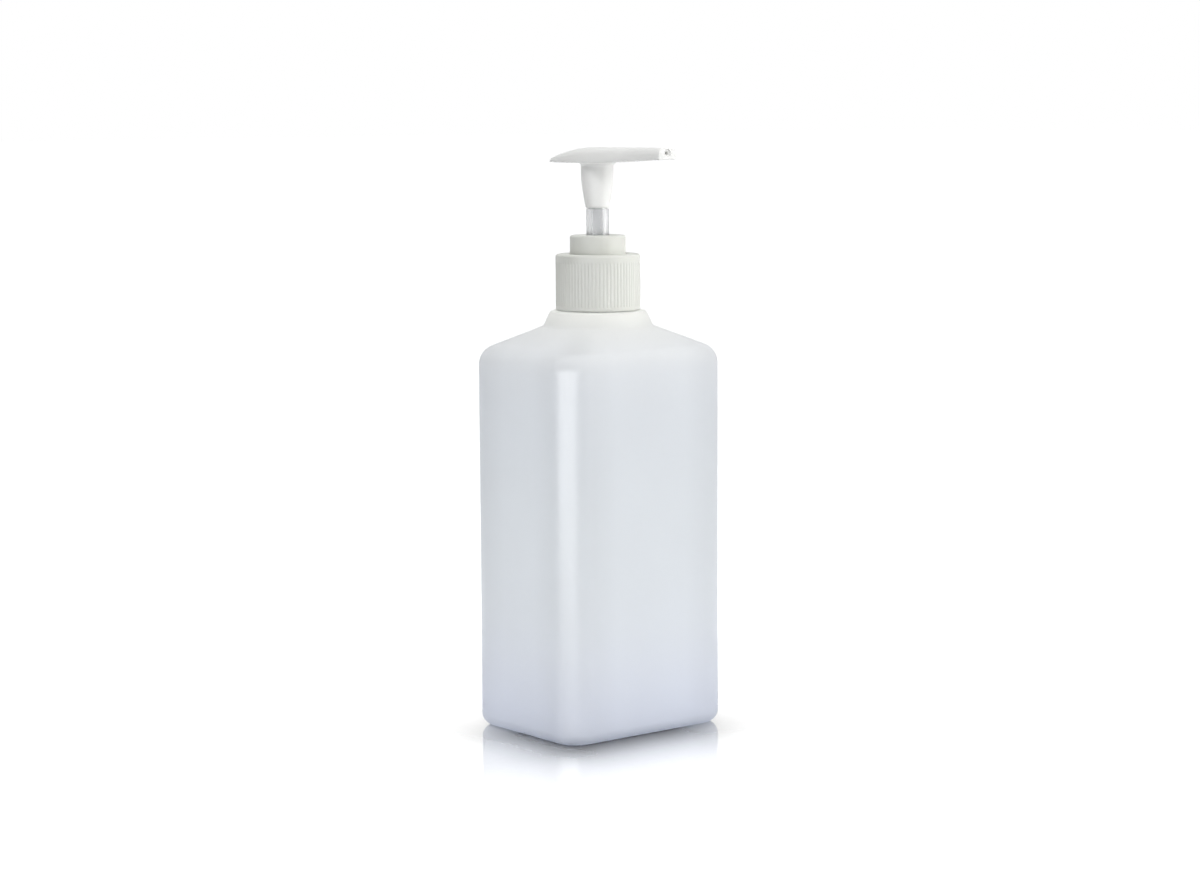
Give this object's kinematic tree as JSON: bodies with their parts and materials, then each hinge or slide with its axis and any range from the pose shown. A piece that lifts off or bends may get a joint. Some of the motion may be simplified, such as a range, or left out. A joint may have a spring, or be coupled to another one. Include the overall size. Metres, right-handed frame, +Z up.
{
  "type": "pump bottle",
  "caption": "Rounded rectangular plastic bottle with a ribbed screw closure and a push-down lotion pump with a long spout.",
  "frame": {"origin": "on the neck's axis in the plane the bottle stands on, under the middle of the recessed base panel", "axes": "+Z up the neck's axis, X along the wide faces, the spout points along -Y at rest"},
  "size_m": [0.0912, 0.0846, 0.2582],
  "materials": {
    "milky_body": "translucent natural polyethylene, satin",
    "white_plastic": "moulded white polypropylene, satin",
    "clear_plastic": "clear polypropylene, glossy",
    "foam": "soft foam liner",
    "steel": "bright stainless wire and ball"
  },
  "bodies": {
    "bottle": {"bottle": "milky_body"},
    "pump_body": {"pump_housing": "clear_plastic", "chaplet": "white_plastic", "neck_gasket": "foam", "dip_tube": "clear_plastic", "return_spring": "steel"},
    "closure": {"closure": "white_plastic"},
    "plunger": {"piston": "white_plastic"},
    "head": {"actuator": "white_plastic", "stem": "clear_plastic", "piston_rod": "clear_plastic"},
    "ball": {"inlet_ball": "steel"}
  },
  "joints": [
    {"name": "pump_lift", "type": "slide", "parent": "bottle", "child": "pump_body", "axis": [0, 0, 1], "range_m": [0, 0.00635]},
    {"name": "closure_turn", "type": "hinge", "parent": "pump_body", "child": "closure", "pos_m": [0, 0, 0.1867], "axis": [0, 0, 1], "range_deg": [0, 540]},
    {"name": "pump_press", "type": "slide", "parent": "pump_body", "child": "plunger", "axis": [0, 0, -1], "range_m": [0, 0.0114], "stiffness_N_per_m": 600, "springref_m": -0.008, "deforming": ["return_spring"]},
    {"name": "head_turn", "type": "hinge", "parent": "plunger", "child": "head", "pos_m": [0, 0, 0.2314], "axis": [0, 0, 1], "continuous": true},
    {"name": "ball_lift", "type": "slide", "parent": "pump_body", "child": "ball", "axis": [0, 0, 1], "range_m": [0, 0.0019]}
  ],
  "couplings": [
    {"joint": "pump_lift", "follows": "closure_turn", "m_per_rad": 0.000673}
  ]
}
